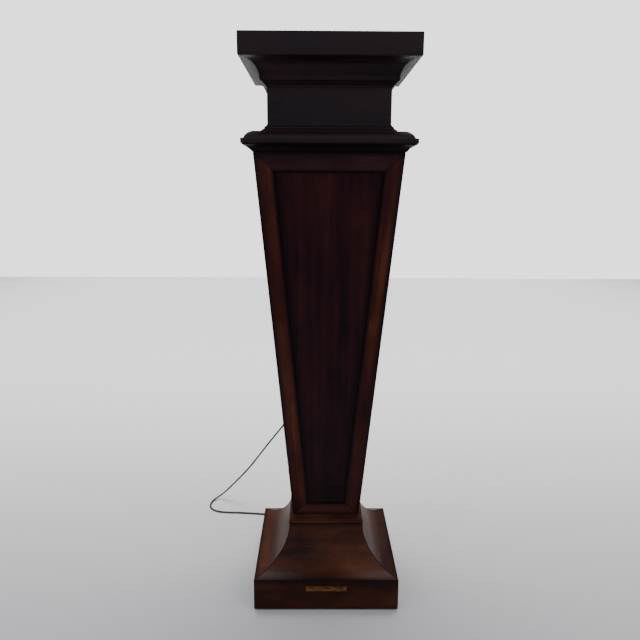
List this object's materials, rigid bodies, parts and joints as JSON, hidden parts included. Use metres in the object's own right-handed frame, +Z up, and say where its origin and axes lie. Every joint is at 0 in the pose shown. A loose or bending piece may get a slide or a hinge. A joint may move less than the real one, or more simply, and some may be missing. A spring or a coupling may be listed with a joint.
{
  "type": "display plinth",
  "caption": "Tall tapered display plinth in dark satin mahogany with framed panels, moulded capital, square slab top, brass nameplate, lit frosted glass top and a mains lead.",
  "frame": {"origin": "centre of the footprint, on the floor", "axes": "+Z up, front face with the nameplate towards -Y, +X to the right seen from the front"},
  "size_m": [0.4787, 0.4956, 1.1299],
  "materials": {
    "dark_wood": "satin polish, nearly black mahogany",
    "frame_wood": "satin polish, red-brown mahogany with burnished dark edges",
    "panel_wood": "satin polish, plum-brown mahogany with upright grain",
    "base_wood": "satin polish, warm brown mahogany with darkened edges",
    "aged_brass": "aged, brushed along its length",
    "nylon": "matte",
    "frosted_glass": "frosted",
    "white_ceramic": "glazed",
    "lamp_glass": "opal",
    "black_rubber": "moulded, matte",
    "black_plastic": "fine texture",
    "lead_sheath": "dark brown sheath, slight sheen"
  },
  "bodies": {
    "root": {"base_board_back": "base_wood", "base_board_front": "base_wood", "base_board_left": "base_wood", "base_board_right": "base_wood", "base_cove_back": "base_wood", "base_cove_front": "base_wood", "base_cove_left": "base_wood", "base_cove_right": "base_wood", "bed_moulding_back": "dark_wood", "bed_moulding_front": "dark_wood", "bed_moulding_left": "dark_wood", "bed_moulding_right": "dark_wood", "bottom_board": "base_wood", "bottom_rail_back": "frame_wood", "bottom_rail_front": "frame_wood", "bottom_rail_left": "frame_wood", "bottom_rail_right": "frame_wood", "capital_board": "dark_wood", "corner_post_back_left": "frame_wood", "corner_post_back_right": "frame_wood", "corner_post_front_left": "frame_wood", "corner_post_front_right": "frame_wood", "foot_plate": "base_wood", "glide_back_left": "nylon", "glide_back_right": "nylon", "glide_front_left": "nylon", "glide_front_right": "nylon", "inner_lead": "lead_sheath", "lamp": "lamp_glass", "lamp_holder": "white_ceramic", "lead_coil": "lead_sheath", "lead_run": "lead_sheath", "lead_tail": "lead_sheath", "lead_tie": "black_plastic", "nameplate": "aged_brass", "neck_board_back": "dark_wood", "neck_board_front": "dark_wood", "neck_board_left": "dark_wood", "neck_board_right": "dark_wood", "panel_back": "panel_wood", "panel_front": "panel_wood", "panel_left": "panel_wood", "panel_right": "panel_wood", "plug": "black_rubber", "slab_board_back": "dark_wood", "slab_board_front": "dark_wood", "slab_board_left": "dark_wood", "slab_board_right": "dark_wood", "strain_relief": "black_rubber", "switch_body": "black_plastic", "top_cove_back": "dark_wood", "top_cove_front": "dark_wood", "top_cove_left": "dark_wood", "top_cove_right": "dark_wood", "top_rail_back": "frame_wood", "top_rail_front": "frame_wood", "top_rail_left": "frame_wood", "top_rail_right": "frame_wood"},
    "glass": {"glass_panel": "frosted_glass"},
    "rocker": {"switch_rocker": "black_plastic"}
  },
  "joints": [
    {"name": "glass_lift", "type": "slide", "parent": "root", "child": "glass", "axis": [0, 0, 1], "range_m": [0, 0.1]},
    {"name": "rocker_tilt", "type": "hinge", "parent": "root", "child": "rocker", "pos_m": [0, 0.0974, 0.52014], "axis": [1, 0, 0], "range_deg": [0, 18]}
  ]
}
